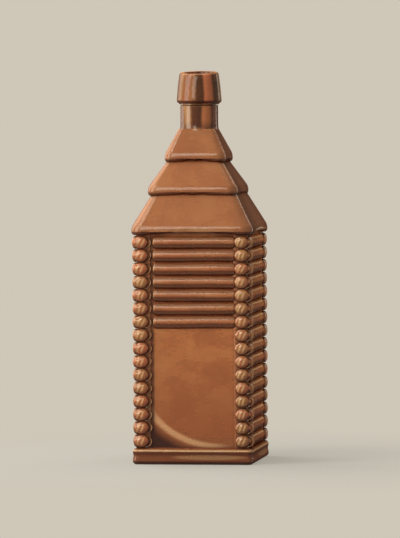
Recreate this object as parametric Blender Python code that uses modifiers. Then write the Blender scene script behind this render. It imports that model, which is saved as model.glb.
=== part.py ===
# A log-cabin bottle of amber glass: a square blown body with log walls, a three-tier roof and a
# round neck, a tapered collar laid on round the neck's end, and the cork that stops it.
# The origin is the middle of the base, +Z is up, and the front with its label panel faces -Y.

import math

import bmesh
import bpy
from mathutils import Matrix

# Clearance between pieces, overrun of the cuts and overlap of what is joined
FIT_GAP = 0.0003
OVERRUN = 0.0040
OVERLAP = 0.0008
WELD = 0.00002

# Plinth and the dish under it
PLINTH_HEIGHT = 0.0104
PLINTH_WIDTH = 0.0776
PLINTH_CORNER = 0.0036
PLINTH_TOP_ROUNDING = 0.0024
PLINTH_HEEL_ROUNDING = 0.0030
DISH_WIDTH = 0.0560
DISH_DEPTH = 0.0026

# Walls and their logs
WALL_WIDTH = 0.0704
COURSES = 16
FACE_COURSES = 7
COURSE_PITCH = 0.00855
LOG_LENGTH = 0.0514
LOG_RELIEF = 0.0022
LOG_GROOVE_RELIEF = 0.0004
LOG_END_CHAMFER = 0.0014

# Corner posts, each a stack of log ends
POST_WIDTH = 0.0110
POST_OUTER_WIDTH = 0.0748
POST_CORNER = 0.0005
LOG_END_SPACING = 0.0654
LOG_END_WIDTH = 0.0092
LOG_END_TALLNESS = 0.0080
LOG_END_RELIEF = 0.0014
LOG_END_SINK = 0.0005

# Roof tiers, the lowest first: height, width over the eaves, and width where the next one sits
TIER_HEIGHTS = (0.0253, 0.0230, 0.0190)
TIER_EAVES = (0.0787, 0.0584, 0.0394)
TIER_WAISTS = (0.0560, 0.0368, 0.0228)
EAVE_THICKNESS = 0.0034
EAVE_ROUNDING = 0.0008
HIP_ROUNDING = 0.0028

# Neck, and the spigot of it that the collar covers
NECK_WIDTH = 0.0244
NECK_HEIGHT = 0.0150
NECK_ROOT_FLARE = 0.0014
SPIGOT_WIDTH = 0.0216
SPIGOT_HEIGHT = 0.0135
BORE_WIDTH = 0.0172

# Collar
COLLAR_HEIGHT = 0.0206
COLLAR_MOUTH_WIDTH = 0.0248
COLLAR_FOOT_WIDTH = 0.0287
COLLAR_UNDERCUT = 0.0022
COLLAR_ROUNDING = 0.0014

# Hollow of the body
GLASS_WALL = 0.0034
GLASS_FLOOR = 0.0090
HEEL_HEIGHT = 0.0120
SHOULDER_DROP = 0.0050
SQUARE_POWER = 7.0
ROUND_POWER = 2.0
HEEL_UP_SHARES = (0.0, 0.06, 0.25, 0.55, 1.0)
HEEL_ACROSS_SHARES = (0.45, 0.66, 0.86, 0.97, 1.0)
ROOF_SQUARE_SHARES = (1.0, 0.5, 0.2)

# Cork
CORK_LENGTH = 0.0210
CORK_DEPTH = 0.0045
CORK_TAPER = 0.0010
CORK_EDGE = 0.0006

# Numbers of facets
ROUND_STEPS = 32
SQUARE_STEPS = 4
ARC_STEPS = 3
LOG_SIDES = 12
LOG_END_SEGMENTS = 8
LOG_END_RINGS = 4
HOLLOW_STEPS = 32
DISH_STEPS = 6

# Levels that the sizes above give
WALL_TOP = PLINTH_HEIGHT + COURSES * COURSE_PITCH
ROOF_TOP = WALL_TOP + sum(TIER_HEIGHTS)
NECK_TOP = ROOF_TOP + NECK_HEIGHT
SPIGOT_TOP = NECK_TOP + SPIGOT_HEIGHT
MOUTH = NECK_TOP + COLLAR_HEIGHT
CORK_TOP = MOUTH - CORK_DEPTH

AMBER = (0.36, 0.13, 0.045, 1.0)
PALE_AMBER = (0.42, 0.17, 0.065, 1.0)
CORK_TAN = (0.42, 0.27, 0.15, 1.0)


def material(name, colour, roughness):
    made = bpy.data.materials.new(name)
    made.use_nodes = True
    shader = made.node_tree.nodes["Principled BSDF"]
    shader.inputs["Base Color"].default_value = colour
    shader.inputs["Roughness"].default_value = roughness
    shader.inputs["Metallic"].default_value = 0.0
    made.diffuse_color = colour
    return made


def collection(name):
    made = bpy.data.collections.new(name)
    bpy.context.scene.collection.children.link(made)
    return made


def place(name, mesh, home, helper=True):
    """An object in a collection. A helper is a shape that a Boolean joins or cuts."""
    made = bpy.data.objects.new(name, mesh)
    home.objects.link(made)
    made.hide_render = helper
    if helper:
        made.display_type = "WIRE"
    return made


def quarter(across, up, radius, first):
    """A quarter round of an outline, going clockwise from its first angle in degrees."""
    turns = [math.radians(first - 90.0 * i / ARC_STEPS) for i in range(ARC_STEPS + 1)]
    return [(across + radius * math.cos(t), up + radius * math.sin(t)) for t in turns]


def turned(name, outline, home, steps=ROUND_STEPS, helper=True):
    """A solid turned about Z from (half width, height) points that run from the top down."""
    square = steps == SQUARE_STEPS
    to_corner = 1 / math.cos(math.pi / SQUARE_STEPS) if square else 1.0
    mesh = bpy.data.meshes.new(name)
    points = [(across * to_corner, 0.0, up) for across, up in outline]
    mesh.from_pydata(points, [(i, i + 1) for i in range(len(points) - 1)], [])
    if square:
        mesh.transform(Matrix.Rotation(math.pi / SQUARE_STEPS, 4, "Z"))
    made = place(name, mesh, home, helper)
    screw = made.modifiers.new("turn", "SCREW")
    screw.axis = "Z"
    screw.steps = screw.render_steps = steps
    screw.use_merge_vertices = True
    screw.merge_threshold = WELD
    screw.use_smooth_shade = not square
    return made


def box_mesh(name, size, level):
    """A box centred on the axis at a level."""
    shape = bmesh.new()
    bmesh.ops.create_cube(shape, size=1.0)
    bmesh.ops.scale(shape, verts=shape.verts, vec=size)
    bmesh.ops.translate(shape, verts=shape.verts, vec=(0.0, 0.0, level))
    mesh = bpy.data.meshes.new(name)
    shape.to_mesh(mesh)
    shape.free()
    return mesh


def round_corners(target, radius, segments):
    """Rounds the corners of a square solid and leaves its level edges, which meet less sharply."""
    bevel = target.modifiers.new("corners", "BEVEL")
    bevel.width = radius
    bevel.segments = segments
    bevel.limit_method = "ANGLE"
    bevel.angle_limit = math.radians(70.0)
    bevel.use_clamp_overlap = True


def boolean(target, operation, operands):
    step = target.modifiers.new(operation.lower(), "BOOLEAN")
    step.operation = operation
    step.operand_type = "COLLECTION"
    step.collection = operands
    step.solver = "EXACT"


def add_plinth(home):
    """The thick rounded bar that the walls stand on."""
    half, top, heel = PLINTH_WIDTH / 2, PLINTH_TOP_ROUNDING, PLINTH_HEEL_ROUNDING
    outline = [(0.0, PLINTH_HEIGHT)]
    outline += quarter(half - top, PLINTH_HEIGHT - top, top, 90)
    outline += quarter(half - heel, heel, heel, 0)
    outline.append((0.0, 0.0))
    round_corners(turned("plinth", outline, home, SQUARE_STEPS), PLINTH_CORNER, 3)


def add_roof(home):
    """Three hipped tiers. Each runs up a little way into the one above it."""
    level = WALL_TOP
    for tier, height in enumerate(TIER_HEIGHTS):
        eave, waist, edge = TIER_EAVES[tier] / 2, TIER_WAISTS[tier] / 2, EAVE_ROUNDING
        top = level + height
        bury = 0.0 if tier == len(TIER_HEIGHTS) - 1 else OVERLAP
        outline = [(0.0, top + 2 * bury), (waist, top + bury), (eave, level + EAVE_THICKNESS)]
        outline += quarter(eave - edge, level + edge, edge, 0)
        outline.append((0.0, level))
        round_corners(turned(f"tier_{tier}", outline, home, SQUARE_STEPS), HIP_ROUNDING, 3)
        level = top


def add_neck(home):
    """The round neck, flared where it leaves the roof, with the spigot above it."""
    root, foot = NECK_ROOT_FLARE, ROOF_TOP - OVERRUN
    outline = [
        (0.0, SPIGOT_TOP),
        (SPIGOT_WIDTH / 2, SPIGOT_TOP),
        (SPIGOT_WIDTH / 2, NECK_TOP),
        (NECK_WIDTH / 2, NECK_TOP),
        (NECK_WIDTH / 2, ROOF_TOP + root),
        (NECK_WIDTH / 2 + root, ROOF_TOP - root),
        (NECK_WIDTH / 2 + root, foot),
        (0.0, foot),
    ]
    turned("neck", outline, home)


def log_mesh():
    """A log along X that meets its neighbours in a groove, and how far its axis lies in the wall."""
    half, rise = COURSE_PITCH / 2, LOG_RELIEF - LOG_GROOVE_RELIEF
    radius = (half**2 + rise**2) / (2 * rise)
    shape = bmesh.new()
    bmesh.ops.create_cone(
        shape, cap_ends=True, segments=LOG_SIDES, radius1=radius, radius2=radius, depth=LOG_LENGTH
    )
    rims = [e for e in shape.edges if any(len(f.verts) == LOG_SIDES for f in e.link_faces)]
    bmesh.ops.bevel(shape, geom=rims, offset=LOG_END_CHAMFER, segments=1, affect="EDGES")
    bmesh.ops.rotate(shape, verts=shape.verts, matrix=Matrix.Rotation(math.pi / 2, 3, "Y"))
    mesh = bpy.data.meshes.new("log")
    shape.to_mesh(mesh)
    shape.free()
    mesh.shade_smooth()
    mesh.set_sharp_from_angle(angle=math.radians(40.0))
    return mesh, WALL_WIDTH / 2 + LOG_RELIEF - radius


def log_end_mesh():
    """The round of a log's end, facing +Y. Its widest section lies just inside the post."""
    shape = bmesh.new()
    bmesh.ops.create_uvsphere(shape, u_segments=LOG_END_SEGMENTS, v_segments=LOG_END_RINGS, radius=1.0)
    bmesh.ops.rotate(shape, verts=shape.verts, matrix=Matrix.Rotation(math.pi / 2, 3, "X"))
    size = (LOG_END_WIDTH / 2, LOG_END_RELIEF + LOG_END_SINK, LOG_END_TALLNESS / 2)
    bmesh.ops.scale(shape, verts=shape.verts, vec=size)
    mesh = bpy.data.meshes.new("log_end")
    shape.to_mesh(mesh)
    shape.free()
    mesh.shade_smooth()
    return mesh


def course_level(course):
    return PLINTH_HEIGHT + (course + 0.5) * COURSE_PITCH


def add_to_side(name, mesh, home, side, along, out, up):
    """Puts a shape made for the +Y face on one of the four sides, counted from +Y."""
    made = place(name, mesh, home)
    turn = Matrix.Rotation(side * math.pi / 2, 4, "Z")
    made.matrix_world = turn @ Matrix.Translation((along, out, up))
    return made


def add_logs(home):
    """Logs on all four walls: every course on the sides, the upper ones above the panels."""
    mesh, depth = log_mesh()
    for side in range(SQUARE_STEPS):
        first = COURSES - FACE_COURSES if side % 2 == 0 else 0
        for course in range(first, COURSES):
            add_to_side(f"log_{side}_{course}", mesh, home, side, 0.0, depth, course_level(course))


def add_posts(home):
    """Four posts, with a row of round log ends up both outer faces of each."""
    foot, top = PLINTH_HEIGHT / 2, WALL_TOP + EAVE_THICKNESS / 2
    post = box_mesh("post", (POST_WIDTH, POST_WIDTH, top - foot), (top + foot) / 2)
    middle = (POST_OUTER_WIDTH - POST_WIDTH) / 2
    log_end = log_end_mesh()
    along, out = LOG_END_SPACING / 2, POST_OUTER_WIDTH / 2 - LOG_END_SINK
    for side in range(SQUARE_STEPS):
        round_corners(add_to_side(f"post_{side}", post, home, side, middle, middle, 0.0), POST_CORNER, 1)
        for course in range(COURSES):
            up = course_level(course)
            add_to_side(f"log_end_left_{side}_{course}", log_end, home, side, -along, out, up)
            add_to_side(f"log_end_right_{side}_{course}", log_end, home, side, along, out, up)


def hollow_sections():
    """(half width, squareness, height) of the hollow, from its floor to past the mouth."""
    room, bore = WALL_WIDTH / 2 - GLASS_WALL, BORE_WIDTH / 2
    sections = []
    for across, up in zip(HEEL_ACROSS_SHARES, HEEL_UP_SHARES):
        sections.append((room * across, SQUARE_POWER, GLASS_FLOOR + HEEL_HEIGHT * up))
    halves = [room] + [waist / 2 - GLASS_WALL for waist in TIER_WAISTS[:-1]]
    levels = [WALL_TOP - SHOULDER_DROP, WALL_TOP + TIER_HEIGHTS[0], ROOF_TOP - TIER_HEIGHTS[-1]]
    for half, level, share in zip(halves, levels, ROOF_SQUARE_SHARES):
        sections.append((half, ROUND_POWER + share * (SQUARE_POWER - ROUND_POWER), level))
    sections += [(bore, ROUND_POWER, ROOF_TOP), (bore, ROUND_POWER, SPIGOT_TOP + OVERRUN)]
    return sections


def add_hollow(home):
    """The inside of the bottle, a loft from a square room with a round heel to a round bore."""
    shape = bmesh.new()
    rings = []
    for half, power, up in hollow_sections():
        ring = []
        for step in range(HOLLOW_STEPS):
            turn = 2 * math.pi * step / HOLLOW_STEPS
            c, s = math.cos(turn), math.sin(turn)
            x = math.copysign(abs(c) ** (2 / power), c)
            y = math.copysign(abs(s) ** (2 / power), s)
            ring.append(shape.verts.new((half * x, half * y, up)))
        rings.append(ring)
    for lower, upper in zip(rings, rings[1:]):
        for i in range(HOLLOW_STEPS):
            j = (i + 1) % HOLLOW_STEPS
            shape.faces.new((lower[i], lower[j], upper[j], upper[i]))
    shape.faces.new(rings[0])
    shape.faces.new(rings[-1])
    bmesh.ops.recalc_face_normals(shape, faces=shape.faces)
    mesh = bpy.data.meshes.new("hollow")
    shape.to_mesh(mesh)
    shape.free()
    mesh.shade_smooth()
    place("hollow", mesh, home)


def add_dish(home):
    """The shallow hollow under the base, which leaves a flat ring to stand on."""
    half = DISH_WIDTH / 2
    radius = (half**2 + DISH_DEPTH**2) / (2 * DISH_DEPTH)
    across = [half * step / DISH_STEPS for step in range(DISH_STEPS + 1)]
    outline = [(a, math.sqrt(radius**2 - a**2) - radius + DISH_DEPTH) for a in across]
    outline += [(half, -OVERRUN), (0.0, -OVERRUN)]
    turned("dish", outline, home)


def make_body(home, joined, cut, glass):
    """The blown body: one piece of glass from the plinth to the spigot inside the collar."""
    foot, top = PLINTH_HEIGHT - OVERLAP, WALL_TOP + OVERLAP
    walls = box_mesh("walls", (WALL_WIDTH, WALL_WIDTH, top - foot), (top + foot) / 2)
    body = place("glass_body", walls, home, helper=False)
    add_plinth(joined)
    add_logs(joined)
    add_posts(joined)
    add_roof(joined)
    add_neck(joined)
    add_hollow(cut)
    add_dish(cut)
    boolean(body, "UNION", joined)
    boolean(body, "DIFFERENCE", cut)
    body.data.materials.append(glass)


def make_collar(home, glass):
    """The tapered collar, laid on over the spigot and undercut to the width of the neck."""
    bore, seat, edge = BORE_WIDTH / 2, SPIGOT_WIDTH / 2 + FIT_GAP, COLLAR_ROUNDING
    base, rim = NECK_TOP + FIT_GAP, COLLAR_MOUTH_WIDTH / 2
    outline = quarter(rim - edge, MOUTH - edge, edge, 90)
    outline += [(COLLAR_FOOT_WIDTH / 2, NECK_TOP + COLLAR_UNDERCUT), (NECK_WIDTH / 2, base)]
    outline += [(seat, base), (seat, SPIGOT_TOP + FIT_GAP), (bore, SPIGOT_TOP + FIT_GAP)]
    outline += quarter(bore + edge, MOUTH - edge, edge, 180)
    outline.append(outline[0])
    turned("lip_collar", outline, home, helper=False).data.materials.append(glass)


def make_cork(home, bark):
    """The cork, driven in below the rim. Its origin is the middle of its top."""
    top, edge = BORE_WIDTH / 2 - FIT_GAP, CORK_EDGE
    tip = top - CORK_TAPER / 2
    outline = [(0.0, 0.0), (top - edge, 0.0), (top, -edge), (tip, edge - CORK_LENGTH)]
    outline += [(tip - edge, -CORK_LENGTH), (0.0, -CORK_LENGTH)]
    cork = turned("cork", outline, home, helper=False)
    cork.location = (0.0, 0.0, CORK_TOP)
    cork.data.materials.append(bark)


def main():
    for leftover in list(bpy.data.objects):
        bpy.data.objects.remove(leftover)
    bottle = collection("log_cabin_bottle")
    joined = collection("joined_to_body")
    cut = collection("cut_from_body")
    make_body(bottle, joined, cut, material("amber_glass", AMBER, 0.08))
    make_collar(bottle, material("collar_glass", PALE_AMBER, 0.08))
    make_cork(bottle, material("cork_bark", CORK_TAN, 0.85))


main()
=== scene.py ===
import math
import random

import bmesh
import bpy
from mathutils import Matrix, Quaternion, Vector


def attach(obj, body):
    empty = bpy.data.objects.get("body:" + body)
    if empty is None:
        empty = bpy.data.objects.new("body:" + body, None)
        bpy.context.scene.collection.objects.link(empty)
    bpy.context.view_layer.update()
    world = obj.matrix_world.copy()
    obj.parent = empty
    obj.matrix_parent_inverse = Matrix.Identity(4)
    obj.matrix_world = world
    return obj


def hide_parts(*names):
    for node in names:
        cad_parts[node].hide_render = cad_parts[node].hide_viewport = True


# Moulded amber bottle in the shape of a log cabin: visible pieces, finishes, light and camera.
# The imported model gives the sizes. Metres, +Z up, the label panel looks along -Y.
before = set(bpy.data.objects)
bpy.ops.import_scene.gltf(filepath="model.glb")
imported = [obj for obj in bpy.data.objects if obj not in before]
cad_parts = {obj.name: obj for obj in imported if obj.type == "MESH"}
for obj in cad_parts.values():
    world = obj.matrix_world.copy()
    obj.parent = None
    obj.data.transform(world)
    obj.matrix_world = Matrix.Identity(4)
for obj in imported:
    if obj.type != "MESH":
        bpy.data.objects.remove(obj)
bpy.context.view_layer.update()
mm = 0.001
wobble = random.Random(7)
print("frame loaded")

sideTurns = {"front": 0, "right": 90, "back": 180, "left": 270}  # degrees about Z from the front side
roundSides = 72  # facets of what is round about the axis
slack = 0.1 * mm  # how far off its place an edge or a point may be when it is picked


# Small steps that every piece uses
def objectMode():
    if bpy.context.mode != "OBJECT":
        bpy.ops.object.mode_set(mode="OBJECT")


def selectOnly(*pieces):
    objectMode()
    bpy.ops.object.select_all(action="DESELECT")
    for piece in pieces:
        piece.select_set(True)
    bpy.context.view_layer.objects.active = pieces[-1]


def applyPlace(piece):
    selectOnly(piece)
    bpy.ops.object.transform_apply(location=True, rotation=True, scale=True)


def startBox(name, low, high):
    objectMode()
    bpy.ops.object.select_all(action="DESELECT")
    low, high = Vector(low), Vector(high)
    bpy.ops.mesh.primitive_cube_add(size=1, location=(low + high) / 2, scale=high - low)
    piece = bpy.context.object
    piece.name = name
    applyPlace(piece)
    return piece


# A drum from low to high on its own axis
def startDrum(name, radius, low, high, sides, along="Z"):
    objectMode()
    bpy.ops.object.select_all(action="DESELECT")
    low, high = Vector(low), Vector(high)
    turns = {"X": (0, math.pi / 2, 0), "Y": (math.pi / 2, 0, 0), "Z": (0, 0, 0)}
    bpy.ops.mesh.primitive_cylinder_add(
        vertices=sides, radius=radius, depth=(high - low).length, location=(low + high) / 2,
        rotation=turns[along])
    piece = bpy.context.object
    piece.name = name
    applyPlace(piece)
    return piece


def edit(piece):
    selectOnly(piece)
    bpy.ops.object.mode_set(mode="EDIT")
    bpy.ops.mesh.select_all(action="DESELECT")


def pickFaces(piece, test):
    bpy.ops.mesh.select_mode(type="FACE")
    bpy.ops.mesh.select_all(action="DESELECT")
    shape = bmesh.from_edit_mesh(piece.data)
    shape.normal_update()
    for face in shape.faces:
        face.select_set(bool(test(face.calc_center_median(), face.normal)))
    bmesh.update_edit_mesh(piece.data)


def pickEdges(piece, test):
    bpy.ops.mesh.select_mode(type="EDGE")
    bpy.ops.mesh.select_all(action="DESELECT")
    shape = bmesh.from_edit_mesh(piece.data)
    for edge in shape.edges:
        ends = [v.co for v in edge.verts]
        edge.select_set(bool(test((ends[0] + ends[1]) / 2, (ends[1] - ends[0]).normalized())))
    bmesh.update_edit_mesh(piece.data)


def pickPoints(piece, test):
    bpy.ops.mesh.select_mode(type="VERT")
    bpy.ops.mesh.select_all(action="DESELECT")
    shape = bmesh.from_edit_mesh(piece.data)
    for point in shape.verts:
        point.select_set(bool(test(point.co)))
    bmesh.update_edit_mesh(piece.data)


# Which way an edge runs
def upright(way):
    return abs(way.z) > 0.9


def lying(way):
    return abs(way.z) < 0.1


def roundEdges(piece, offset, segments, test):
    pickEdges(piece, test)
    bpy.ops.mesh.bevel(offset=offset, segments=segments, affect="EDGES")


# Extrudes the selected face through steps of (centre, half width across, half width up)
def growFace(start, steps):
    centre, across, up, flat = start
    for nextCentre, nextAcross, nextUp in steps:
        move = Vector(nextCentre) - Vector(centre)
        bpy.ops.mesh.extrude_region_move(TRANSFORM_OT_translate={"value": move})
        scale = {"Y": (nextAcross / across, 1, nextUp / up), "Z": (nextAcross / across, nextUp / up, 1)}[flat]
        bpy.ops.transform.resize(value=scale, center_override=nextCentre)
        centre, across, up = nextCentre, nextAcross, nextUp


# Extrudes the top of a drum or a box through steps of (level, half width)
def growUp(piece, level, half, steps):
    pickFaces(piece, lambda centre, normal: normal.z > 0.9)
    growFace(((0, 0, level), half, half, "Z"), [((0, 0, z), r, r) for z, r in steps])


def addModifier(piece, kind, **values):
    selectOnly(piece)
    modifier = piece.modifiers.new(kind.lower(), kind)
    for name, value in values.items():
        setattr(modifier, name, value)
    bpy.ops.object.modifier_apply(modifier=modifier.name)


def copyOf(piece, name, place):
    twin = piece.copy()
    twin.data = piece.data.copy()
    twin.name = name
    bpy.context.collection.objects.link(twin)
    twin.data.transform(place)
    return twin


def joined(pieces, name):
    selectOnly(*pieces)
    if len(pieces) > 1:
        bpy.ops.object.join()
    bpy.context.object.name = name
    return bpy.context.object


def cut(piece, tool, how="DIFFERENCE"):
    addModifier(piece, "BOOLEAN", operation=how, object=tool, solver="MANIFOLD")
    bpy.data.objects.remove(tool)


def turned(degrees):
    return Matrix.Rotation(math.radians(degrees), 4, "Z")


def smooth(piece, angle):
    selectOnly(piece)
    bpy.ops.object.shade_smooth_by_angle(angle=math.radians(angle))


# Keeps wide flat faces flat where a small rounding meets them
def evenShade(piece):
    addModifier(piece, "WEIGHTED_NORMAL", mode="FACE_AREA", weight=50, keep_sharp=True)


def check(piece):
    shape = bmesh.new()
    shape.from_mesh(piece.data)
    openEdges = sum(1 for edge in shape.edges if len(edge.link_faces) != 2)
    print(piece.name, "faces", len(shape.faces), "open edges", openEdges,
          "volume", round(shape.calc_volume() * 1e6, 1), "ml")
    shape.free()


# Camera: from the front, a little to the right of it, at the height of the neck
cameraPlace = {
    "turn": 8.7, "distance": 2.9, "height": 0.235, "clip": (0.05, 60),
    "aim": (-0.18 * mm, 0.0, 122.9 * mm), "lens": 302.6, "sensor": 36.0, "roll": -0.36,
}


def addCamera(c):
    lens = bpy.data.cameras.new("camera")
    lens.lens, lens.sensor_width = c["lens"], c["sensor"]
    lens.clip_start, lens.clip_end = c["clip"]
    holder = bpy.data.objects.new("camera", lens)
    bpy.context.collection.objects.link(holder)
    turn = math.radians(c["turn"])
    holder.location = (math.sin(turn) * c["distance"], -math.cos(turn) * c["distance"], c["height"])
    level = (Vector(c["aim"]) - holder.location).to_track_quat("-Z", "Y")
    holder.rotation_euler = (level @ Quaternion((0, 0, 1), math.radians(c["roll"]))).to_euler()
    bpy.context.scene.camera = holder


addCamera(cameraPlace)


# Glass body: plinth, log walls, corner log ends, roof tiers and neck, blown as one
plinth = {
    "halfWidth": 38.8 * mm, "height": 10.4 * mm, "corner": 3.6 * mm,
    "topRound": 2.4 * mm, "heelRound": 2.4 * mm, "touch": 0.2 * mm, "flute": (0.1, 0.35, 0.45, 0.25),
}


def modelPlinth(p):
    half, top = p["halfWidth"], p["height"]
    piece = startBox("plinth", (-half, -half, 0), (half, half, top))
    edit(piece)
    roundEdges(piece, p["corner"], 6, lambda middle, way: upright(way))
    roundEdges(piece, p["topRound"], 5, lambda middle, way: lying(way) and middle.z > top - p["touch"])
    roundEdges(piece, p["heelRound"], 5, lambda middle, way: lying(way) and middle.z < p["touch"])
    low, high = p["heelRound"], top - p["topRound"]
    pickEdges(piece, lambda middle, way: upright(way) and low < middle.z < high)
    bpy.ops.mesh.subdivide(number_cuts=len(p["flute"]))
    for ring, depth in enumerate(p["flute"]):  # a shallow flute along each side
        level = low + (high - low) * (ring + 1) / (len(p["flute"]) + 1)
        pickPoints(piece, lambda spot: abs(spot.z - level) < slack)
        shrink = 1 - depth * mm / half
        bpy.ops.transform.resize(value=(shrink, shrink, 1), center_override=(0, 0, level))
    objectMode()
    return piece


walls = {
    "halfWidth": 35.2 * mm, "low": 6 * mm, "high": 149.5 * mm,
    "courses": 16, "faceCourses": 7, "firstLevel": 10.6 * mm, "pitch": 8.42 * mm,
    "logRadius": 5.2 * mm, "logDepth": 32.2 * mm, "logHalf": 26.5 * mm, "logShift": 1.5 * mm,
    "logEndRound": 1.5 * mm, "logSides": 32, "logSpans": 5,
    # how uneven the logs are: waver along them, share of it in and out, lean in degrees, and level
    "waver": 0.16 * mm, "waverOutShare": 0.6, "lean": 0.22, "levelDrift": 0.1 * mm,
    "postHalf": 4.8 * mm, "postCentre": 31.1 * mm, "postRound": 1.2 * mm,
}


def levelOf(course):
    return walls["firstLevel"] + walls["pitch"] * (course + 0.5)


# One log along X at the front wall, with rounded ends and a slight waver along its length
def modelLog(w):
    half, depth, share = w["logHalf"], w["logDepth"], w["waverOutShare"]
    piece = startDrum("log", w["logRadius"], (-half, -depth, 0), (half, -depth, 0), w["logSides"], "X")
    edit(piece)
    roundEdges(piece, w["logEndRound"], 3, lambda middle, way: abs(way.x) < 0.5)
    inner = half - w["logEndRound"] - slack
    pickEdges(piece, lambda middle, way: abs(way.x) > 0.9 and abs(middle.x) < 1 * mm)
    bpy.ops.mesh.subdivide(number_cuts=w["logSpans"], smoothness=0)
    shape = bmesh.from_edit_mesh(piece.data)
    rings = sorted({round(point.co.x, 6) for point in shape.verts if abs(point.co.x) < inner})
    for place in rings:
        pickPoints(piece, lambda spot: abs(spot.x - place) < slack / 2)
        drift = (0, wobble.uniform(-share, share) * w["waver"], wobble.uniform(-1, 1) * w["waver"])
        bpy.ops.transform.translate(value=drift)
    objectMode()
    return piece


def modelLogs(w):
    log = modelLog(w)
    logs = {}
    for side, turn in sideTurns.items():
        full = side in ("right", "left")
        for course in range(w["courses"]):
            if not full and course < w["courses"] - w["faceCourses"]:
                continue
            flipped = wobble.random() < 0.5
            lean = Matrix.Rotation(math.radians(wobble.uniform(-w["lean"], w["lean"])), 4, "Y")
            ownShape = Matrix.Rotation(math.pi if flipped else 0, 4, Vector((0, 1, 0)))
            drift = wobble.uniform(-w["levelDrift"], w["levelDrift"])
            level = Matrix.Translation((w["logShift"], 0, levelOf(course) + drift))
            logs[side, course] = copyOf(log, f"log_{side}_{course}", turned(turn) @ level @ lean @ ownShape)
    bpy.data.objects.remove(log)
    return logs


logEnd = {
    "sides": 18, "columnCentre": 32.3 * mm, "sink": 34.0 * mm, "ringShift": 2.0 * mm, "domeShift": -0.35 * mm,
    # half width, half height, distance from the axis, for the rim behind and for the dome before it
    "ring": [(4.5, 4.1, 36.0), (4.42, 4.0, 36.5), (4.15, 3.75, 36.75), (3.85, 3.45, 36.65), (3.6, 3.2, 35.9)],
    "dome": [
        (4.7, 4.12, 36.8), (4.62, 4.05, 37.2), (4.33, 3.8, 37.6), (3.85, 3.4, 37.97), (3.1, 2.75, 38.32),
        (2.1, 1.95, 38.6), (1.1, 1.0, 38.76)],
    # how unlike they are: share in size, share of that on the wide side, tilt in degrees, place across and in
    "spread": 0.03, "widen": 0.3, "tilt": 5, "offAcross": 0.12 * mm, "offIn": 0.18 * mm,
}


# An oval boss facing -Y that grows outwards through the given steps
def modelOval(e, name, shift, steps):
    steps = [(half * mm, tall * mm, -out * mm) for half, tall, out in steps]
    half, tall, out = steps[0]
    piece = startDrum(name, half, (shift, out, 0), (shift, -e["sink"], 0), e["sides"], "Y")
    edit(piece)
    bpy.ops.mesh.select_all(action="SELECT")
    bpy.ops.transform.resize(value=(1, 1, tall / half), center_override=(0, 0, 0))
    pickFaces(piece, lambda centre, normal: normal.y < -0.9 and abs(centre.y - out) < slack)
    growFace(((shift, out, 0), half, tall, "Y"),
             [((shift, depth, 0), wide, high) for wide, high, depth in steps[1:]])
    objectMode()
    return piece


# One log end: an oval ring with a dome set a little to its left
def modelLogEnd(e):
    piece = modelOval(e, "logEnd", e["ringShift"], e["ring"])
    cut(piece, modelOval(e, "dome", e["domeShift"], e["dome"]), "UNION")
    return piece


# Sixteen log ends up each edge of each side, none quite like the next
def modelLogEnds(e):
    first, spread = modelLogEnd(e), e["spread"]
    ends = {}
    for side, turn in sideTurns.items():
        for edge in (-1, 1):
            for course in range(walls["courses"]):
                wide = 1 + wobble.uniform(-spread, spread * e["widen"])
                own = Matrix.Diagonal((wide, 1, 1 + wobble.uniform(-spread, 0), 1))
                tilt = Matrix.Rotation(math.radians(wobble.uniform(-e["tilt"], e["tilt"])), 4, "Y")
                across = edge * e["columnCentre"] + wobble.uniform(-e["offAcross"], e["offAcross"])
                place = Matrix.Translation((across, wobble.uniform(0, e["offIn"]), levelOf(course)))
                ends[side, edge, course] = copyOf(
                    first, f"logEnd_{side}_{edge}_{course}", turned(turn) @ place @ tilt @ own)
    bpy.data.objects.remove(first)
    return ends


def modelWalls(w):
    half = w["halfWidth"]
    block = startBox("wallBlock", (-half, -half, w["low"]), (half, half, w["high"]))
    inner, outer = w["postCentre"] - w["postHalf"], w["postCentre"] + w["postHalf"]
    posts = []
    for x in (-1, 1):
        for y in (-1, 1):
            low = (min(x * inner, x * outer), min(y * inner, y * outer), w["low"])
            high = (max(x * inner, x * outer), max(y * inner, y * outer), w["high"])
            post = startBox("post", low, high)
            edit(post)
            roundEdges(post, w["postRound"], 2, lambda middle, way: upright(way))
            objectMode()
            posts.append(post)
    return block, posts


roof = {
    # low level, height, half width of the eave and of the waist, hip rounding, rise of the eave,
    # height of the eave, and how far the mould set it off to the left
    "tiers": [
        (146.4, 26.1, 39.35, 26.8, 7.2, 2.2, 3.9, 0),
        (171.0, 24.5, 29.2, 15.9, 6.2, 0.4, 4.4, 0.8),
        (192.2, 20.7, 19.9, 11.6, 5.2, 0.8, 4.2, 0.4),
    ],
    "lipInset": 0.3 * mm, "upperRound": 2.3 * mm, "lowerRound": 1.9 * mm, "overlap": 0.6 * mm,
    "spans": 8, "riseReach": 1.6 * mm,  # pieces of an eave, and how far up it the rise takes hold
}


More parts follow.
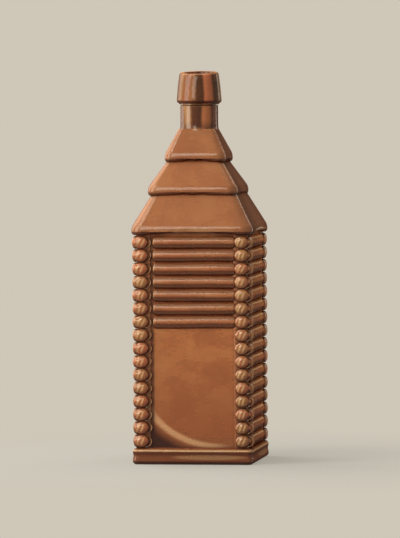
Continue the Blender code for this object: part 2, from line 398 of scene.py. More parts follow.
# A tapered roof tier with broad rounded hips, a rounded eave and an eave line that rises in the middle
def modelTier(r, *sizes):
    low, height, eave, waist, hip, rise, eaveHeight, off = (value * mm for value in sizes)
    bottom, shoulder = low - r["overlap"], low + eaveHeight
    piece = startBox("tier", (-eave, -eave, bottom), (eave, eave, shoulder))
    edit(piece)
    roundEdges(piece, hip, 6, lambda middle, way: upright(way))
    growUp(piece, shoulder, eave, [(low + height, waist)])
    pickFaces(piece, lambda centre, normal: normal.z < -0.9)
    shrink = 1 - r["lipInset"] / eave
    bpy.ops.transform.resize(value=(shrink, shrink, 1), center_override=(0, 0, low))
    roundEdges(piece, r["upperRound"], 5, lambda middle, way: lying(way) and abs(middle.z - shoulder) < slack)
    roundEdges(piece, r["lowerRound"], 4, lambda middle, way: lying(way) and middle.z < bottom + slack)
    straight = eave - hip - slack
    for axis in (0, 1):
        line = Vector((1 - axis, axis, 0))
        pickEdges(piece, lambda middle, way: way.cross(line).length < 0.05 and abs(middle[axis]) < slack)
        bpy.ops.mesh.subdivide(number_cuts=r["spans"] - 1)
    for axis in (0, 1):
        shape = bmesh.from_edit_mesh(piece.data)
        places = sorted({round(point.co[axis], 6) for point in shape.verts if point.co.z < shoulder})
        for place in places:
            if abs(place) > straight:
                continue
            pickPoints(piece, lambda spot: spot.z < low + r["riseReach"]
                       and abs(spot[axis] - place) < slack / 5 and abs(spot[1 - axis]) > straight)
            lift = rise * (1 - (place / straight) ** 2)
            bpy.ops.transform.translate(value=(0, 0, lift))
    bpy.ops.mesh.select_all(action="SELECT")
    bpy.ops.transform.translate(value=(-off, 0, 0))
    objectMode()
    return piece


neck = {
    "radius": 12.1 * mm, "low": 209 * mm, "root": 213.2 * mm, "shoulder": 228.1 * mm, "edge": 0.5 * mm,
    # height above the root in mm, and share of the flare left there
    "flare": 0.35 * mm, "flareSteps": [(-0.6, 1.0), (0.5, 0.45), (1.6, 0.08), (3, 0.0)],
    "spigotRadius": 10.8 * mm, "spigotTop": 243.0 * mm,
}


def modelNeck(n):
    radius, edge, shoulder = n["radius"], n["edge"], n["shoulder"]
    flared = [(n["root"] + up * mm, radius + share * n["flare"]) for up, share in n["flareSteps"]]
    low, wide = flared[0]
    piece = startDrum("neck", wide, (0, 0, n["low"]), (0, 0, low), roundSides)
    edit(piece)
    growUp(piece, low, wide, flared[1:] + [
        (shoulder - edge, radius), (shoulder, radius - edge),
        (shoulder, n["spigotRadius"]), (n["spigotTop"], n["spigotRadius"])])
    objectMode()
    return piece


hollow = {
    "half": 31.6 * mm, "floor": 11.6 * mm, "top": 143 * mm, "corner": 7 * mm, "heel": 6 * mm,
    "sections": [(151, 30.2), (171, 22.6), (194, 13.2), (208, 8.5)],
    "boreRadius": 8.6 * mm, "boreLow": 204 * mm, "boreHigh": 252 * mm,
    "slug": {
        "x": 19.4 * mm, "z": 50.8 * mm, "across": 51.0 * mm, "up": 39.2 * mm, "sides": 96,
        # how far the room that the slug leaves free goes sideways, up, up beside it and under the floor
        "reach": 45 * mm, "roomTop": 230 * mm, "besideTop": 100 * mm, "under": 1 * mm,
    },
}


# The room inside: a heavy slug of glass lies in one heel, as a gather often leaves it
def modelHollow(h):
    half, floor, top = h["half"], h["floor"], h["top"]
    room = startBox("room", (-half, -half, floor), (half, half, top))
    edit(room)
    roundEdges(room, h["corner"], 5, lambda middle, way: upright(way))
    roundEdges(room, h["heel"], 5, lambda middle, way: lying(way) and middle.z < floor + slack)
    growUp(room, top, half, [(z * mm, r * mm) for z, r in h["sections"]])
    objectMode()
    slug = h["slug"]
    x, z, reach = slug["x"], slug["z"], slug["reach"]
    bowl = startDrum("bowl", slug["across"], (x, reach, z), (x, -reach, z), slug["sides"], "Y")
    edit(bowl)
    bpy.ops.mesh.select_all(action="SELECT")
    bpy.ops.transform.resize(value=(1, 1, slug["up"] / slug["across"]), center_override=(0, 0, z))
    objectMode()
    above = startBox("above", (-reach, -reach, z), (reach, reach, slug["roomTop"]))
    beside = startBox("beside", (x, -reach, floor - slug["under"]), (reach, reach, slug["besideTop"]))
    cut(bowl, above, "UNION")
    cut(bowl, beside, "UNION")
    cut(room, bowl, "INTERSECT")
    bore = startDrum("bore", h["boreRadius"], (0, 0, h["boreLow"]), (0, 0, h["boreHigh"]), roundSides)
    cut(room, bore, "UNION")
    return room


# The shallow dish under the base: how far its tool starts below, then levels and radii in mm
dish = {"below": 3 * mm, "steps": [(0.2, 28), (1.3, 24), (2.2, 16), (2.6, 6)]}


def modelDish(d):
    steps = [(z * mm, r * mm) for z, r in d["steps"]]
    low, wide = steps[0]
    piece = startDrum("dish", wide, (0, 0, -d["below"]), (0, 0, low), roundSides)
    edit(piece)
    growUp(piece, low, wide, steps[1:])
    objectMode()
    return piece


def modelBody():
    base = modelPlinth(plinth)
    block, posts = modelWalls(walls)
    cut(base, block, "UNION")
    cut(base, joined(posts, "posts"), "UNION")
    print("walls stand")
    logs = modelLogs(walls)
    for parity in (0, 1):  # neighbours overlap, so every second log goes in one step
        for sides in (("front", "back"), ("right", "left")):
            group = [log for (side, course), log in logs.items() if side in sides and course % 2 == parity]
            cut(base, joined(group, "logs"), "UNION")
    print("logs laid")
    ends = modelLogEnds(logEnd)
    for sides in (("front", "back"), ("right", "left")):
        group = [end for (side, edge, course), end in ends.items() if side in sides]
        cut(base, joined(group, "logEnds"), "UNION")
    print("log ends set")
    for tier in roof["tiers"]:
        cut(base, modelTier(roof, *tier), "UNION")
    cut(base, modelNeck(neck), "UNION")
    cut(base, modelHollow(hollow))
    cut(base, modelDish(dish))
    base.name = "glassBody"
    smooth(base, 36)
    evenShade(base)
    check(base)
    print("glass body done")
    return base


glassBody = modelBody()


# Collar: a second gather of glass laid round the neck and shaped with a lipping tool
collar = {
    "foot": 228.4 * mm, "footRadius": 12.6 * mm, "footHeight": 0.5 * mm, "top": 249.6 * mm,
    "profile": [
        (229.9, 14.0), (230.5, 14.3), (231.2, 14.36), (232.8, 14.24), (240.0, 13.62), (247.4, 12.75),
        (248.6, 12.5), (249.3, 12.1), (249.6, 11.5)],
    "recessRadius": 11.1 * mm, "recessTop": 243.3 * mm, "boreRadius": 8.7 * mm,
    "toolBelow": 2 * mm, "toolAbove": 4 * mm, "mouthRound": 0.8 * mm,
    # the tool left the lip a little lower at the front: slope in degrees, where it starts, and drop
    "lean": 5.0, "leanFrom": 244.5 * mm, "leanDrop": 0.7 * mm,
}


def modelCollar(c):
    foot, top, wide, sides = c["foot"], c["top"], c["footRadius"], roundSides
    start = foot + c["footHeight"]
    piece = startDrum("lipCollar", wide, (0, 0, foot), (0, 0, start), sides)
    edit(piece)
    growUp(piece, start, wide, [(z * mm, r * mm) for z, r in c["profile"]])
    objectMode()
    low, high = foot - c["toolBelow"], top + c["toolAbove"]
    cut(piece, startDrum("recess", c["recessRadius"], (0, 0, low), (0, 0, c["recessTop"]), sides))
    cut(piece, startDrum("mouthBore", c["boreRadius"], (0, 0, foot), (0, 0, high), sides))
    edit(piece)
    roundEdges(piece, c["mouthRound"], 3, lambda middle, way: lying(way) and middle.z > top - slack / 2
               and middle.xy.length < c["boreRadius"] + slack)
    shape = bmesh.from_edit_mesh(piece.data)
    fall = math.tan(math.radians(c["lean"]))
    for point in shape.verts:
        share = max(0.0, (point.co.z - c["leanFrom"]) / (top - c["leanFrom"]))
        point.co.z += share * (point.co.y * fall - c["leanDrop"])
    bmesh.update_edit_mesh(piece.data)
    objectMode()
    smooth(piece, 40)
    check(piece)
    print("collar done")
    return piece


lipCollar = modelCollar(collar)


# Cork: driven in below the rim
corkSize = {
    "low": 224.6 * mm, "high": 245.6 * mm, "lowRadius": 7.7 * mm, "highRadius": 8.25 * mm, "sides": 48,
    "edge": 0.6 * mm, "voxel": 0.45 * mm, "pits": 0.35 * mm, "pitWidth": 2.4 * mm, "pitLevel": 0.3,
}


def modelCork(c):
    piece = startDrum("corkStopper", c["lowRadius"], (0, 0, c["low"]), (0, 0, c["high"]), c["sides"])
    edit(piece)
    ratio = c["highRadius"] / c["lowRadius"]
    pickFaces(piece, lambda centre, normal: normal.z > 0.9)
    bpy.ops.transform.resize(value=(ratio, ratio, 1), center_override=(0, 0, c["high"]))
    roundEdges(piece, c["edge"], 3, lambda middle, way: lying(way))
    objectMode()
    addModifier(piece, "REMESH", mode="VOXEL", voxel_size=c["voxel"])
    pitted = bpy.data.textures.new("corkPits", "CLOUDS")
    pitted.noise_scale, pitted.noise_depth = c["pitWidth"], 2
    addModifier(piece, "DISPLACE", texture=pitted, texture_coords="LOCAL", strength=-c["pits"],
                mid_level=c["pitLevel"])
    bpy.data.textures.remove(pitted)
    smooth(piece, 60)
    check(piece)
    print("cork done")
    return piece


corkStopper = modelCork(corkSize)


# Finishes
# A colour as an eye names it, 0 to 255, made linear
def colour(red, green, blue):
    shares = (value / 255 for value in (red, green, blue))
    return tuple(((v + 0.055) / 1.055) ** 2.4 if v > 10 / 255 else v / 12.92 for v in shares) + (1.0,)


# A shader node; words with a capital set its inputs, and the nodes stand in rows as they are made
def node(tree, kind, **values):
    made = tree.nodes.new(kind)
    row, column = divmod(len(tree.nodes), 14)
    made.location = (column * 200, row * -300)
    for name, value in values.items():
        if hasattr(made, name):
            setattr(made, name, value)
        else:
            plug(value, made.inputs[name.replace("_", " ")])
    return made


def isSocket(value):
    return isinstance(value, bpy.types.NodeSocket)


def plug(value, socket):
    if isSocket(value):
        socket.id_data.links.new(value, socket)
    else:
        socket.default_value = value


def treeOf(*values):
    return next(value.id_data for value in values if isSocket(value))


def calc(operation, *values, clamp=False):
    made = node(treeOf(*values), "ShaderNodeMath", operation=operation, use_clamp=clamp)
    for socket, value in enumerate(values):
        plug(value, made.inputs[socket])
    return made.outputs[0]


def times(first, *others):
    for other in others:
        first = calc("MULTIPLY", first, other)
    return first


def plus(first, second):
    return calc("ADD", first, second)


def minus(first, second):
    return calc("SUBTRACT", first, second)


def absolute(value):
    return calc("ABSOLUTE", value)


def most(first, second):
    return calc("MAXIMUM", first, second)


# 0 before low and 1 after high, or start and end; low may be the greater
def between(value, low, high, start=0.0, end=1.0, kind="SMOOTHSTEP"):
    made = node(value.id_data, "ShaderNodeMapRange", interpolation_type=kind, Value=value)
    for label, number in (("From Min", low), ("From Max", high), ("To Min", start), ("To Max", end)):
        made.inputs[label].default_value = number
    return made.outputs["Result"]


# 1 within the distance half of the place middle, fading out from the distance fade
def near(value, middle, fade, half, full=1.0):
    return between(absolute(minus(value, middle)), fade, half, 0.0, full)


def mix(amount, first, second, kind="RGBA"):
    made = node(treeOf(amount, first, second), "ShaderNodeMix", data_type=kind)
    start, result = (6, 2) if kind == "RGBA" else (2, 0)
    for socket, value in ((0, amount), (start, first), (start + 1, second)):
        plug(value, made.inputs[socket])
    return made.outputs[result]


def ramp(value, stops, kind="LINEAR"):
    made = node(value.id_data, "ShaderNodeValToRGB", Fac=value)
    points = made.color_ramp.elements
    made.color_ramp.interpolation = kind
    while len(points) < len(stops):
        points.new(0.5)
    for point, (place, shade) in zip(points, stops):
        point.position, point.color = place, shade
    return made.outputs["Color"]


def noise(place, scale, **values):
    return node(place.id_data, "ShaderNodeTexNoise", Vector=place, Scale=scale, **values).outputs["Fac"]


def axes(place):
    return node(place.id_data, "ShaderNodeSeparateXYZ", Vector=place).outputs


def newGroup(name, takes, gives):
    tree = bpy.data.node_groups.new(name, "ShaderNodeTree")
    for label, kind, value in takes:
        socket = tree.interface.new_socket(label, in_out="INPUT", socket_type=kind)
        if value is not None:
            socket.default_value = value
    for label in gives:
        tree.interface.new_socket(label, in_out="OUTPUT", socket_type="NodeSocketFloat")
    return tree, node(tree, "NodeGroupInput").outputs, node(tree, "NodeGroupOutput").inputs


def useGroup(place, group):
    return node(place.id_data, "ShaderNodeGroup", node_tree=group, Vector=place).outputs


# Cloudy thick and thin places, drawn-out cords and seeds in blown glass
def makeMottleGroup():
    tree, takes, gives = newGroup(
        "blownGlassMottle",
        [("Vector", "NodeSocketVector", None), ("Cloud", "NodeSocketFloat", 60.0),
         ("Cord", "NodeSocketFloat", 170.0)],
        ["Tone", "Height", "Seeds"])
    place = takes["Vector"]
    clouds = noise(place, takes["Cloud"], Detail=2.0, Roughness=0.5, Distortion=0.4)
    stretched = node(tree, "ShaderNodeMapping", Vector=place, Scale=(0.6, 0.6, 1.5)).outputs["Vector"]
    cords = noise(stretched, takes["Cord"], Detail=1.5, Roughness=0.5, Distortion=1.6)
    plug(between(mix(0.25, clouds, cords, "FLOAT"), 0.27, 0.73), gives["Tone"])
    plug(mix(0.12, clouds, cords, "FLOAT"), gives["Height"])
    cells = node(tree, "ShaderNodeTexVoronoi", Vector=place, Scale=190.0, Randomness=1.0)
    plug(between(cells.outputs["Distance"], 0.05, 0.1, 1.0, 0.0, "LINEAR"), gives["Seeds"])
    return tree


# Painted shade in corners and grooves: dark where the surface is closed in
def makeCreviceShadeGroup():
    tree, takes, gives = newGroup(
        "grooveShade",
        [("Vector", "NodeSocketVector", None), ("Reach", "NodeSocketFloat", 3.0 * mm)],
        ["Mask"])
    closed = node(tree, "ShaderNodeAmbientOcclusion", samples=12, Distance=takes["Reach"]).outputs["AO"]
    spots = between(noise(takes["Vector"], 180.0, Detail=4.0), 0, 1, 0.7, 1.0, "LINEAR")
    plug(times(between(closed, 0.45, 0.95, 1.0, 0.0, "LINEAR"), spots), gives["Mask"])
    return tree


# Painted highlights along edges and ridges, in patches
def makeEdgeHighlightGroup():
    tree, takes, gives = newGroup(
        "paleEdgeHighlights",
        [("Vector", "NodeSocketVector", None), ("Reach", "NodeSocketFloat", 2.2 * mm)],
        ["Mask"])
    ridge = node(tree, "ShaderNodeAmbientOcclusion", samples=8, inside=True, Distance=takes["Reach"])
    patches = between(noise(takes["Vector"], 140.0, Detail=2.0), 0.3, 0.6, 0.35, 1.0)
    plug(times(between(ridge.outputs["AO"], 0.85, 0.5), patches), gives["Mask"])
    return tree


mottleGroup = makeMottleGroup()
creviceShadeGroup = makeCreviceShadeGroup()
edgeHighlightGroup = makeEdgeHighlightGroup()


def newMaterial(name):
    material = bpy.data.materials.new(name)
    material.use_nodes = True
    tree = material.node_tree
    tree.nodes.clear()
    surface = node(tree, "ShaderNodeBsdfPrincipled")
    output = node(tree, "ShaderNodeOutputMaterial", Surface=surface.outputs["BSDF"])
    place = node(tree, "ShaderNodeTexCoord").outputs["Object"]
    return material, surface.inputs, output.inputs, place


# Amber glass: its tones, and the painted highlights, reflections and shade laid into its colour
glass = {
    "transmission": 0.5, "ior": 1.02, "absorb": colour(214, 140, 60), "density": 40.0,
    "roughness": (0.2, 0.36), "creviceShadeRoughness": 0.25, "bump": 0.18, "bumpDepth": 0.6 * mm, "seedBump": 0.1,
    "coat": 0.85, "coatRoughness": 0.11, "coatIor": 1.5,
    "coatFade": (0.45, 0.85), "coatAtEdge": 0.04, "coatOnCrown": (0.75, 1.15),
    "dark": colour(183, 117, 75), "middle": colour(200, 134, 85), "pale": colour(216, 152, 100),
    "low": colour(173, 105, 66), "lowShade": 0.85, "lowFrom": (80 * mm, 12 * mm),
    "base": colour(124, 70, 42), "baseShade": 0.8, "baseFrom": (10.6 * mm, 9.8 * mm),
    "roof": colour(164, 108, 74), "roofShade": 0.6, "roofFrom": (144 * mm, 147 * mm),
    "roofTo": (213.2 * mm, 212.4 * mm),
    # painted shade on the roof's side faces
    "roofSideShade": colour(70, 26, 20), "hipStart": (2 * mm, 5 * mm), "hipFade": (30 * mm, 10 * mm, 0.7, 1.0),
    "rootShade": 0.5, "rootFrom": (219 * mm, 214 * mm), "rootTo": (212.6 * mm, 213.2 * mm),
    # painted shade: on what faces down, in the gutters, round the neck's foot and inside the neck
    "under": colour(78, 35, 25), "undersideShadeShare": 0.84, "undersideShadeTilt": (0.06, -0.32),
    "underCrown": (0.0, 0.8, 1.0, 0.35), "underFoot": (0.1 * mm, 1.2 * mm, 0.3, 1.0),
    # painted shade on the tops of the logs, and a painted highlight line along them
    "over": colour(112, 62, 40), "overShare": 0.75, "overTilt": (0.16, 0.42), "overFacing": (0.1, 0.25),
    "logHighlight": colour(214, 164, 124), "logHighlightShare": 0.5, "logHighlightTilt": (0.12, 0.2, 0.05),
    "log": colour(158, 90, 62), "logShare": 0.5, "gutterShadeShare": 0.6,
    "crown": colour(182, 118, 76), "crownGreen": colour(172, 124, 70), "crownRed": colour(206, 108, 72),
    # painted highlights on the log ends, the ring rims and the plinth
    "crownShare": 0.7, "highlightPaint": colour(246, 206, 150), "highlightPaintShare": 0.85, "spindleHighlightShare": 0.27,
    # painted highlights along edges, and painted shade in corners and grooves
    "edgeHighlight": colour(232, 180, 128), "edgeHighlightShare": 0.4, "creviceShade": colour(64, 30, 21), "creviceShadeOnHighlight": 0.25,
    # painted reflections and shade in bands round the neck and collar
    "reflectionBandShare": 0.85, "reflectionBandTilt": (0.4, 0.9, 1.0, 0.35),
    "boreShade": 0.8, "boreReach": (9.6 * mm, 9.0 * mm), "boreFrom": (204 * mm, 206 * mm),
    # a painted highlight along the slug in the heel, and the dark of the thick glass below it
    "heelHighlight": colour(240, 190, 142), "heelDark": colour(66, 34, 24),
}

# where the slug in the heel shows through the front and back panels, with a painted highlight along its rim
heel = {
    "rimStart": (0.94, 0.99), "rimEnd": (1.08, 1.02), "bandFade": (27 * mm, 12 * mm),
    "darkStart": (1.02, 1.2), "darkFade": (16 * mm, -16 * mm),
    "top": (42 * mm, 28 * mm), "foot": (10.5 * mm, 11 * mm), "wall": (34.2 * mm, 34.6 * mm),
    "side": (28.5 * mm, 27.5 * mm),
}


# A painted highlight along the rim of the slug in the heel, and the dark thick glass below it
def heelMasks(place):
    x, y, z = axes(place)
    slug = hollow["slug"]
    along = times(x, calc("SIGN", y), -1.0)  # mirrored on the back
    across = calc("DIVIDE", minus(along, slug["x"]), slug["across"])
    up = calc("DIVIDE", minus(z, slug["z"]), slug["up"])
    reach = calc("SQRT", plus(times(across, across), times(up, up)))
    zone = times(between(z, *heel["top"]), between(z, *heel["foot"]),
                 between(absolute(y), *heel["wall"]), between(absolute(x), *heel["side"]))
    rimHighlight = times(between(reach, *heel["rimStart"]), between(reach, *heel["rimEnd"]))
    heelHighlightMask = times(rimHighlight, zone, between(along, *heel["bandFade"]))
    below = times(between(reach, *heel["darkStart"]), zone, between(along, *heel["darkFade"]))
    return heelHighlightMask, below


# The side faces of the roof, darkened with painted shade, darkest just behind the hips
def roofSideShadeMask(place, g):
    x, y, z = axes(place)
    behind = minus(absolute(x), absolute(y))
    return times(between(behind, *g["hipStart"]), between(behind, *g["hipFade"]))


# where the painted highlights on the log ends and the plinth lie, and the logs and gutters
marks = {
    "foot": (10.8 * mm, 11.4 * mm), "top": (145.6 * mm, 144.6 * mm), "crown": (36.9 * mm, 38.6 * mm),
    "highlightStrokes": ((-1.5 * mm, 1.05 * mm), (1.3 * mm, 0.95 * mm)), "strokeFade": 0.3,
    "strokeLength": (3.2 * mm, 1.6 * mm), "slant": 0.35, "sway": 0.7 * mm, "swayScale": 45.0,
    "ringHalf": (4.0 * mm, 3.6 * mm), "ringEdge": (0.66, 0.8), "ringLow": (36.3 * mm, 36.6 * mm),
    "ringHigh": (37.1 * mm, 36.9 * mm),
    "plinth": (10.8 * mm, 10.5 * mm), "plinthHighlight": (8.9 * mm, 0.8 * mm, 0.3 * mm, 0.8),
    "spindleMiddle": (11 * mm, 4.8 * mm), "spindleHalf": (27 * mm, 1.9 * mm), "spindleFade": (1.0, 0.4),
    "relief": (35.35 * mm, 36.2 * mm), "reliefCrown": (0.0, 0.3, 1.0, 0.0),
    "gutterShift": 1.2 * mm, "gutter": (25.4 * mm, 26.3 * mm), "gutterDepth": (36.0 * mm, 35.4 * mm),
    "edgeNumber": 37.3, "sideNumber": 91.7,
}


# Masks for the crowns of the log ends, for the painted highlights (strokes, ring rims, the plinth's line and
# spindle), the logs and the gutters, and a number of its own for each log end
def logEndMasks(place, m):
    x, y, z = axes(place)
    out = most(absolute(x), absolute(y))
    zone = times(between(z, *m["foot"]), between(z, *m["top"]))
    crown = times(between(out, *m["crown"]), zone)
    front = calc("GREATER_THAN", absolute(y), absolute(x))  # which side the log end is on
    alongSide = times(calc("SIGN", x), y)
    alongFront = times(calc("SIGN", y), times(x, -1.0))
    along = plus(alongSide, times(front, minus(alongFront, alongSide)))
    column = times(calc("SIGN", along), logEnd["columnCentre"])
    across = minus(minus(along, column), logEnd["domeShift"])
    course = calc("DIVIDE", minus(z, walls["firstLevel"]), walls["pitch"])
    up = times(minus(calc("FRACT", course), 0.5), walls["pitch"])
    # two slanted painted highlights on each log end
    drift = between(noise(place, m["swayScale"], Detail=1.0), 0.3, 0.7, -m["sway"], m["sway"])
    slant = plus(drift, minus(across, times(up, m["slant"])))
    highlightStrokes = [near(slant, middle, half, half * m["strokeFade"]) for middle, half in m["highlightStrokes"]]
    domeHighlight = times(most(*highlightStrokes), between(absolute(up), *m["strokeLength"]), crown)
    # a painted highlight on the rim of the ring behind
    ovalX = calc("DIVIDE", minus(across, logEnd["ringShift"] - logEnd["domeShift"]), m["ringHalf"][0])
    ovalZ = calc("DIVIDE", up, m["ringHalf"][1])
    oval = plus(times(ovalX, ovalX), times(ovalZ, ovalZ))
    raised = times(between(out, *m["ringLow"]), between(out, *m["ringHigh"]), zone)
    rimHighlight = times(between(oval, *m["ringEdge"]), raised)
    # a painted highlight line and a spindle of painted highlight along the plinth
    plinthOnly = between(z, *m["plinth"])
    plinthHighlight = times(near(z, *m["plinthHighlight"]), plinthOnly)
    spanX, spanZ = (calc("DIVIDE", minus(value, middle), half)
                    for value, middle, half in zip((along, z), m["spindleMiddle"], m["spindleHalf"]))
    spindleHighlight = times(between(plus(times(spanX, spanX), times(spanZ, spanZ)), *m["spindleFade"]), plinthOnly)
    # pale: all the painted highlights together
    pale = most(most(domeHighlight, rimHighlight), plinthHighlight)
    relief = times(between(out, *m["relief"]), zone, between(crown, *m["reliefCrown"]))
    # the gutters beside the logs, which get painted shade
    beside = between(absolute(minus(along, m["gutterShift"])), *m["gutter"])
    gutter = times(beside, zone, between(out, *m["gutterDepth"]))
    columnNumber = plus(times(calc("SIGN", along), m["edgeNumber"]), times(front, m["sideNumber"]))
    which = plus(calc("FLOOR", course), columnNumber)
    chance = node(place.id_data, "ShaderNodeTexWhiteNoise", noise_dimensions="1D", W=which).outputs["Value"]
    return crown, pale, spindleHighlight, relief, gutter, chance


# the first degree of the painted bands, how many degrees they cover, their sway, and what takes it back out
reflectionBandLayout = {"first": -82, "turn": 180, "swayScale": 70.0, "sway": 0.22, "swayBack": 0.035}


# Bands of painted reflection and painted shade that run up the neck and collar, the same on the far half
def paintedReflectionBands(place, stops):
    x, y, z = axes(place)
    first, turn = reflectionBandLayout["first"], reflectionBandLayout["turn"]
    angle = calc("ARCTAN2", x, times(y, -1.0))
    swayed = plus(angle, times(noise(place, reflectionBandLayout["swayScale"], Detail=1.0), reflectionBandLayout["sway"]))
    part = calc("FRACT", plus(calc("DIVIDE", swayed, math.radians(turn)), -first / turn - reflectionBandLayout["swayBack"]))
    return ramp(part, [((degrees - first) / turn, shade) for degrees, shade in stops], "EASE")


def makeAmberGlass(g, name, reflectionBandStops, reflectionBandLow):
    material, surface, output, place = newMaterial(name)
    tone, height, seeds = useGroup(place, mottleGroup)
    creviceShade, edgeHighlight = useGroup(place, creviceShadeGroup)["Mask"], useGroup(place, edgeHighlightGroup)["Mask"]
    x, y, z = axes(place)
    crown, pale, spindleHighlight, relief, gutter, chance = logEndMasks(place, marks)
    heelHighlightMask, below = heelMasks(place)
    normal = axes(node(place.id_data, "ShaderNodeNewGeometry").outputs["Normal"])
    # the body of the glass, from the plinth to the neck, with painted shade on the roof's sides and the
    # neck's foot
    shade = ramp(tone, [(0.0, g["dark"]), (0.5, g["middle"]), (1.0, g["pale"])])
    # painted reflections and shade in bands round the neck and collar
    onNeck = times(between(z, reflectionBandLow - 1 * mm, reflectionBandLow + 1 * mm), between(normal["Z"], *g["reflectionBandTilt"]))
    shade = mix(times(onNeck, g["reflectionBandShare"]), shade, paintedReflectionBands(place, reflectionBandStops))
    shade = mix(between(z, *g["lowFrom"], 0.0, g["lowShade"]), shade, g["low"])
    onRoof = times(between(z, *g["roofFrom"], 0.0, g["roofShade"]), between(z, *g["roofTo"]))
    shade = mix(onRoof, shade, g["roof"])
    shade = mix(times(roofSideShadeMask(place, g), onRoof), shade, g["roofSideShade"])
    # painted shade round the foot of the neck
    root = times(between(z, *g["rootFrom"], 0.0, g["rootShade"]), between(z, *g["rootTo"]))
    shade = mix(root, shade, g["under"])
    shade = mix(between(z, *g["baseFrom"], 0.0, g["baseShade"]), shade, g["base"])
    # the heel, the log ends and the logs, with painted highlights and painted shade in the gutters
    tint = ramp(chance, [(0.1, g["crownGreen"]), (0.5, g["crown"]), (0.9, g["crownRed"])])
    for mask, share, paint in (
            (below, 1.0, g["heelDark"]), (heelHighlightMask, 1.0, g["heelHighlight"]), (edgeHighlight, g["edgeHighlightShare"], g["edgeHighlight"]),
            (gutter, g["gutterShadeShare"], g["under"]), (relief, g["logShare"], g["log"]),
            (crown, g["crownShare"], tint), (pale, g["highlightPaintShare"], g["highlightPaint"]),
            (spindleHighlight, g["spindleHighlightShare"], g["highlightPaint"])):
        shade = mix(times(mask, share), shade, paint)
    # painted shade on the upper sides of the logs, and a painted highlight line along each log
    onLog = times(relief, between(absolute(normal["Y"]), *g["overFacing"]))
    shade = mix(times(onLog, between(normal["Z"], *g["overTilt"], 0.0, g["overShare"])), shade, g["over"])
    shade = mix(times(onLog, near(normal["Z"], *g["logHighlightTilt"], g["logHighlightShare"])), shade, g["logHighlight"])
    # painted shade on what faces down, lighter on the log ends' crowns and at the very bottom
    under = times(between(normal["Z"], *g["undersideShadeTilt"], 0.0, g["undersideShadeShare"]),
                  between(crown, *g["underCrown"]), between(z, *g["underFoot"]))
    shade = mix(under, shade, g["under"])
    # painted shade in corners and grooves, weaker on the painted highlights
    shade = mix(times(creviceShade, between(pale, 0.0, 1.0, 1.0, g["creviceShadeOnHighlight"])), shade, g["creviceShade"])
    # painted shade inside the neck
    reach = calc("SQRT", plus(times(x, x), times(y, y)))
    bore = times(between(reach, *g["boreReach"]), between(z, *g["boreFrom"], 0.0, g["boreShade"]))
    plug(mix(bore, shade, g["under"]), surface["Base Color"])
    # gloss, relief and depth
    plug(plus(between(tone, 0, 1, *g["roughness"]), times(creviceShade, g["creviceShadeRoughness"])), surface["Roughness"])
    bump = node(place.id_data, "ShaderNodeBump", Strength=g["bump"], Distance=g["bumpDepth"],
                Height=plus(height, times(seeds, g["seedBump"])))
    plug(bump.outputs["Normal"], surface["Normal"])
    facing = node(place.id_data, "ShaderNodeLayerWeight", Blend=0.5).outputs["Facing"]
    gloss = between(facing, *g["coatFade"], g["coat"], g["coatAtEdge"])
    bright = between(crown, 0.0, 1.0, *g["coatOnCrown"])  # the log ends are the glossiest
    plug(calc("MULTIPLY", gloss, bright, clamp=True), surface["Coat Weight"])
    for label, value in (  # the coat carries the gloss, so the glass under it has none
            ("Transmission Weight", g["transmission"]), ("IOR", g["ior"]), ("Specular IOR Level", 0.0),
            ("Coat Roughness", g["coatRoughness"]), ("Coat IOR", g["coatIor"])):
        surface[label].default_value = value
    depth = node(place.id_data, "ShaderNodeVolumeAbsorption", Color=g["absorb"], Density=g["density"])
    plug(depth.outputs["Volume"], output["Volume"])
    return material


bark = {
    "grainScale": 260.0,
    "grain": [(0.25, colour(110, 72, 42)), (0.5, colour(176, 132, 88)), (0.8, colour(204, 164, 118))],
    "pits": (0.38, 0.32), "pit": colour(66, 40, 24), "roughness": 0.85,
    "cellScale": 700.0, "bump": 0.6, "bumpDepth": 0.3 * mm,
}


def makeCorkBark(b):
    material, surface, output, place = newMaterial("corkBark")
    grain = noise(place, b["grainScale"], Detail=6.0, Distortion=1.2)
    plug(mix(between(grain, *b["pits"]), ramp(grain, b["grain"]), b["pit"]), surface["Base Color"])
    surface["Roughness"].default_value = b["roughness"]
    cells = node(place.id_data, "ShaderNodeTexVoronoi", Vector=place, Scale=b["cellScale"])
    bump = node(place.id_data, "ShaderNodeBump", Strength=b["bump"], Distance=b["bumpDepth"],
                Height=plus(cells.outputs["Distance"], grain))
    plug(bump.outputs["Normal"], surface["Normal"])
    return material


# degrees round from the front, and the colour painted there: pale bands are painted reflections, dark ones
# painted shade
neckReflectionBands = [
    (-80, colour(90, 48, 32)), (-48, colour(96, 52, 34)), (-36, colour(190, 148, 104)),
    (-22, colour(176, 130, 88)), (-10, colour(78, 40, 26)), (12, colour(72, 36, 24)),
    (24, colour(252, 164, 108)), (40, colour(236, 146, 94)), (52, colour(100, 52, 36)),
    (88, colour(90, 46, 32))]
collarReflectionBands = [
    (-80, colour(80, 50, 34)), (-62, colour(100, 64, 42)), (-46, colour(160, 118, 82)),
    (-28, colour(140, 74, 42)), (-12, colour(164, 114, 78)), (-4, colour(132, 88, 62)),
    (3, colour(66, 34, 24)), (17, colour(62, 32, 22)), (27, colour(238, 146, 106)),
    (44, colour(220, 130, 92)), (54, colour(56, 36, 24)), (66, colour(54, 36, 24)),
    (84, colour(176, 146, 110))]
amberGlass = makeAmberGlass(glass, "amberGlass", neckReflectionBands, reflectionBandLow=213.6 * mm)
collarGlass = makeAmberGlass({**glass, "coat": 0.6}, "collarGlass", collarReflectionBands, reflectionBandLow=226 * mm)
corkBark = makeCorkBark(bark)
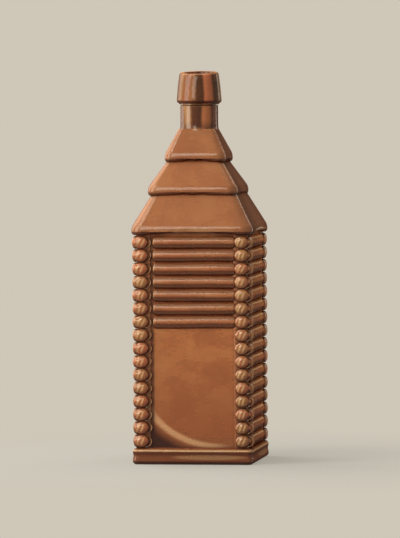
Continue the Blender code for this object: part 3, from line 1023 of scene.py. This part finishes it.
for piece, finish, cadNode, body, slot in (
        (glassBody, amberGlass, "glass_body", "bottle", "amber_glass"),
        (lipCollar, collarGlass, "lip_collar", "bottle", "collar_glass"),
        (corkStopper, corkBark, "cork", "stopper", "cork_bark")):
    piece.data.materials.clear()
    piece.data.materials.append(finish)
    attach(piece, body)
    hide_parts(cadNode)
print("finishes on")


# Paper-pale floor and surroundings, and the lamps
surroundings = {
    "paper": colour(207, 199, 184), "fill": (0.28, 0.265, 0.24, 1), "floorRadius": 9.0,
    "matt": (0.3, 0.32, 0.34, 1), "bounce": (0.16, 0.13, 0.1, 1), "shadow": (0.06, 0.3), "shadowShare": 0.5,
}


def mixShaders(amount, first, second):
    made = node(amount.id_data, "ShaderNodeMixShader")
    for socket, value in enumerate((amount, first, second)):
        plug(value, made.inputs[socket])
    return made.outputs["Shader"]


# 1 where the camera sees the background, straight or through glass or gloss
def backgroundRays(tree):
    path = node(tree, "ShaderNodeLightPath").outputs
    return most(most(path["Is Camera Ray"], path["Is Glossy Ray"]), path["Is Transmission Ray"])


def makeWorld(s):
    world = bpy.data.worlds.new("surroundings")
    bpy.context.scene.world = world
    world.use_nodes = True
    tree = world.node_tree
    tree.nodes.clear()
    paper, fill = (
        node(tree, "ShaderNodeBackground", Color=s[name]).outputs["Background"] for name in ("paper", "fill"))
    node(tree, "ShaderNodeOutputWorld", Surface=mixShaders(backgroundRays(tree), fill, paper))


def makeFloor(s):
    objectMode()
    bpy.ops.object.select_all(action="DESELECT")
    bpy.ops.mesh.primitive_circle_add(vertices=96, radius=s["floorRadius"], fill_type="NGON")
    floor = bpy.context.object
    floor.name = "floor"
    material = bpy.data.materials.new("paperFloor")
    material.use_nodes = True
    tree = material.node_tree
    tree.nodes.clear()
    x, y, z = axes(node(tree, "ShaderNodeTexCoord").outputs["Object"])
    away = between(calc("SQRT", plus(times(x, x), times(y, y))), *s["shadow"], 1 - s["shadowShare"], 1.0)
    matt, bounce = (
        node(tree, "ShaderNodeBsdfDiffuse", Color=s[name]).outputs["BSDF"] for name in ("matt", "bounce"))
    plain = node(tree, "ShaderNodeEmission", Color=s["paper"], Strength=1.0).outputs["Emission"]
    lit = mixShaders(backgroundRays(tree), bounce, mixShaders(away, matt, plain))
    below = node(tree, "ShaderNodeNewGeometry").outputs["Backfacing"]  # seen from below, the floor is clear
    clear = node(tree, "ShaderNodeBsdfTransparent").outputs["BSDF"]
    node(tree, "ShaderNodeOutputMaterial", Surface=mixShaders(below, lit, clear))
    floor.data.materials.append(material)


def around(turn, lift, distance, centre):
    turn, lift = math.radians(turn), math.radians(lift)
    way = Vector((math.sin(turn) * math.cos(lift), -math.cos(turn) * math.cos(lift), math.sin(lift)))
    return centre + way * distance


lampTarget, lampColour = Vector((0, 0, 0.13)), (1.0, 0.9, 0.75)
# turn and lift of a lamp's two ends as seen from the bottle, its width, distance and brightness
lamps = {
    "leftStrip": {"low": (-66, -10), "high": (-42, 58), "width": 0.6, "distance": 1.5, "glow": 7.8},
    "frontStrip": {"low": (-24, 10), "high": (-8, 35), "width": 0.42, "distance": 1.5, "glow": 6.8},
    "leftSoftbox": {"low": (-122, 0), "high": (-112, 66), "width": 1.2, "distance": 1.7, "glow": 3.6},
    "rearStrip": {"low": (134, -2), "high": (142, 50), "width": 0.24, "distance": 1.5, "glow": 3.5},
    "rightSoftbox": {
        "low": (94, -14), "high": (104, 16), "width": 1.1, "distance": 1.8, "glow": 2.0, "mirrored": False},
    "broadLamp": {"low": (0, 80), "high": (0, 110), "width": 1.4, "distance": 2.4, "glow": 4.5},
}


def addLamp(name, l):
    low, high = (around(*l[end], l["distance"], lampTarget) for end in ("low", "high"))
    middle = (low + high) / 2
    back = (middle - lampTarget).normalized()
    up = (high - low - back * (high - low).dot(back)).normalized()
    side = up.cross(back)
    shape = bpy.data.lights.new(name, "AREA")
    shape.shape, shape.size, shape.size_y = "RECTANGLE", l["width"], (high - low).length
    shape.energy = l["glow"] * math.pi * shape.size * shape.size_y
    shape.color = lampColour
    holder = bpy.data.objects.new(name, shape)
    bpy.context.collection.objects.link(holder)
    holder.visible_camera = False
    holder.visible_glossy = l.get("mirrored", True)
    holder.matrix_world = Matrix.Translation(middle) @ Matrix((side, up, back)).transposed().to_4x4()


makeWorld(surroundings)
makeFloor(surroundings)
for name, lamp in lamps.items():
    addLamp(name, lamp)
bpy.context.scene.view_settings.view_transform = "Standard"
print("light and floor set")
